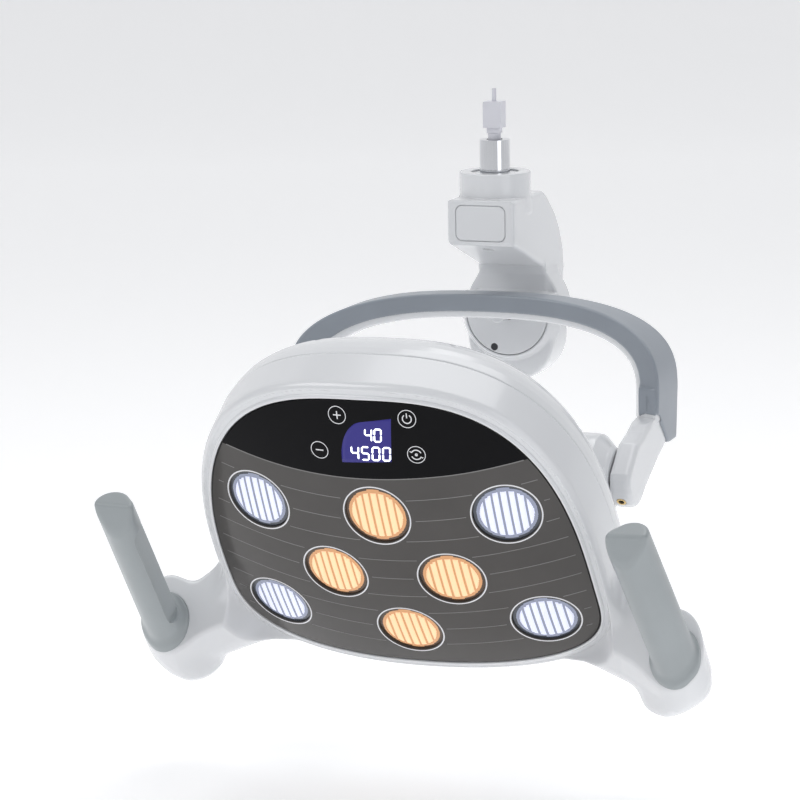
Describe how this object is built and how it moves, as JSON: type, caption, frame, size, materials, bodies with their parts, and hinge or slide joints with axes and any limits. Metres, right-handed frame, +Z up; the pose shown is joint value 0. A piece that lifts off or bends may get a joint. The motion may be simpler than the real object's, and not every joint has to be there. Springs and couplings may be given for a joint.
{
  "type": "dental operating light",
  "caption": "Convex multi-lamp dental light head with side handles, tilting in a U-shaped yoke that rolls and swivels on a bracket hung from a hollow shaft.",
  "frame": {"origin": "on the mounting shaft's axis, level with the top of the bracket's collar, at the foot of the exposed shaft", "axes": "+Z up along the mounting shaft, -Y the front that the lamps face, X across the head"},
  "size_m": [0.4166, 0.3562, 0.4137],
  "materials": {
    "chrome_steel": "polished chrome plate on steel",
    "steel": "machined steel",
    "bronze": "sintered bronze",
    "brass": "turned brass",
    "black_screws": "blackened steel",
    "white_shell": "glossy white moulded plastic",
    "connector_white": "natural nylon",
    "cable": "matt cable jacket",
    "soft_grey": "satin blue-grey overlay",
    "grip_grey": "satin autoclavable grip plastic",
    "panel_smoke": "smoked glossy polycarbonate",
    "gasket": "black silicone",
    "black_plastic": "black moulding",
    "reflector": "metallised reflector",
    "cool_lens": "fluted clear lens, cool light",
    "warm_lens": "fluted clear lens, warm light",
    "cool_led": "cool white emitter on its board",
    "warm_led": "warm white emitter on its board",
    "aluminium": "extruded, bead blasted",
    "circuit": "green solder mask",
    "display": "lit violet-blue digit window"
  },
  "bodies": {
    "mount": {"mounting_shaft": "chrome_steel", "shaft_circlip": "steel", "thrust_washer": "bronze", "supply_connector": "connector_white", "connector_sleeve": "connector_white", "shaft_cable": "cable", "stop_key": "steel"},
    "bracket": {"bracket_housing": "white_shell", "front_plate": "white_shell", "upper_bush": "bronze", "lower_bush": "bronze", "bush_screw": "black_screws", "hub_cover": "white_shell", "hub_cover_screw": "black_screws", "hub_bush": "bronze", "rear_cap": "white_shell", "rear_cap_screws": "black_screws", "stop_pin": "steel", "bracket_cable": "cable"},
    "yoke": {"yoke_frame": "white_shell", "yoke_overlay": "soft_grey", "roll_spigot": "steel", "roll_spring_washer": "steel", "roll_nut": "steel", "tilt_pins": "steel", "tilt_clamp_screws": "black_screws", "clamp_inserts": "brass", "yoke_cable": "cable"},
    "head": {"front_shell": "white_shell", "rear_shell": "white_shell", "lens_panel": "panel_smoke", "panel_gasket": "gasket", "lamp_frame": "black_plastic", "lamp_reflectors": "reflector", "cool_lenses": "cool_lens", "warm_lenses": "warm_lens", "cool_led_boards": "cool_led", "warm_led_boards": "warm_led", "heat_sink": "aluminium", "heat_sink_screws": "black_screws", "control_board": "circuit", "display_module": "display", "touch_springs": "steel", "sensor_module": "black_plastic", "driver_board": "circuit", "driver_spacers": "brass", "tilt_bushes": "bronze", "tilt_frame": "steel", "tilt_frame_screws": "black_screws", "shell_screws": "black_screws", "handle_left": "grip_grey", "handle_right": "grip_grey", "handle_cores": "steel", "handle_screws": "black_screws", "head_cable": "cable"}
  },
  "joints": [
    {"name": "swivel", "type": "hinge", "parent": "mount", "child": "bracket", "pos_m": [0, 0, -0.03], "axis": [0, 0, 1], "range_deg": [-165, 165]},
    {"name": "roll", "type": "hinge", "parent": "bracket", "child": "yoke", "pos_m": [0, 0.03, -0.104], "axis": [0, 1, 0], "range_deg": [-30, 30]},
    {"name": "tilt", "type": "hinge", "parent": "yoke", "child": "head", "pos_m": [0, -0.0985, -0.202], "axis": [1, 0, 0], "range_deg": [-45, 50]}
  ]
}
